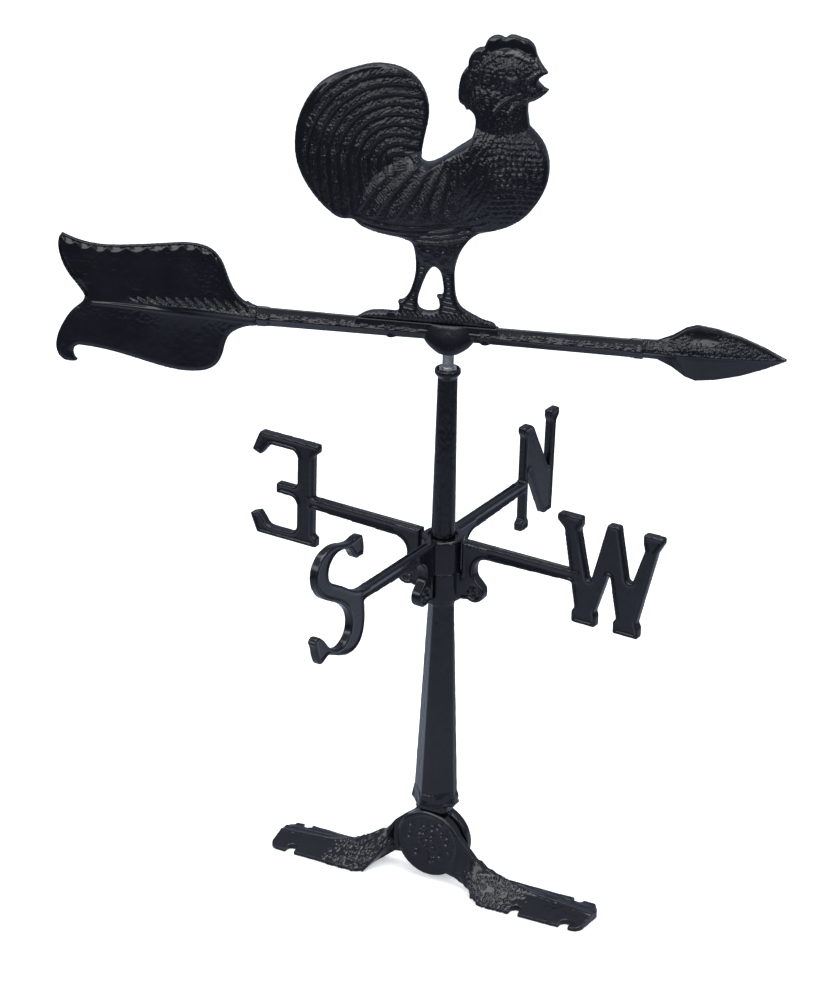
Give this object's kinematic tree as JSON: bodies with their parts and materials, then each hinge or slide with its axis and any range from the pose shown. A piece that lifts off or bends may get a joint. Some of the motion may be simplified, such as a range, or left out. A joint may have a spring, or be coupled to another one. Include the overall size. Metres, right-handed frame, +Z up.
{
  "type": "weather vane",
  "caption": "Roof weather vane: a rooster on a feathered arrow that spins on a threaded rod, over turning compass letters, a tapered post and tilting screw-down feet.",
  "frame": {"origin": "on the axis of the post, in the plane of the two feet's undersides", "axes": "+Z up the post's axis, which is the axis that the arrow and the letters turn on; +X towards the foot that carries two front notches; +Y away from that foot's front edge"},
  "size_m": [0.578, 0.388, 0.764],
  "materials": {
    "black_coated_casting": "satin",
    "bare_threaded_rod": "satin",
    "zinc_plated_fasteners": "satin",
    "bearing_ball_steel": "polished",
    "bronze_bush": "satin",
    "black_screws": "satin"
  },
  "bodies": {
    "post": {"lower_post": "black_coated_casting", "upper_post": "black_coated_casting", "spindle_rod": "bare_threaded_rod", "spindle_jam_nut": "zinc_plated_fasteners", "spindle_star_washer": "zinc_plated_fasteners", "pivot_ball": "bearing_ball_steel"},
    "compass": {"north_south_arms": "black_coated_casting", "east_west_arms": "black_coated_casting"},
    "vane": {"rooster": "black_coated_casting", "rooster_screws": "black_screws", "arrow_shaft": "black_coated_casting", "arrow_tail": "black_coated_casting", "arrow_head": "black_coated_casting", "arrow_grub_screws": "black_screws", "pivot_bush": "bronze_bush"},
    "right_foot": {"right_foot": "black_coated_casting", "foot_pivot_bolt": "zinc_plated_fasteners", "foot_bolt_washer": "zinc_plated_fasteners", "foot_lock_washer": "zinc_plated_fasteners"},
    "left_foot": {"left_foot": "black_coated_casting"}
  },
  "joints": [
    {"name": "vane_spin", "type": "hinge", "parent": "post", "child": "vane", "pos_m": [0, 0, 0.5], "axis": [0, 0, 1], "continuous": true},
    {"name": "compass_turn", "type": "hinge", "parent": "post", "child": "compass", "pos_m": [0, 0, 0.29], "axis": [0, 0, 1], "continuous": true},
    {"name": "right_foot_tilt", "type": "hinge", "parent": "post", "child": "right_foot", "pos_m": [0, 0, 0.0345], "axis": [0, 1, 0], "range_deg": [-20, 50]},
    {"name": "left_foot_tilt", "type": "hinge", "parent": "post", "child": "left_foot", "pos_m": [0, 0, 0.0345], "axis": [0, -1, 0], "range_deg": [-20, 50]}
  ]
}
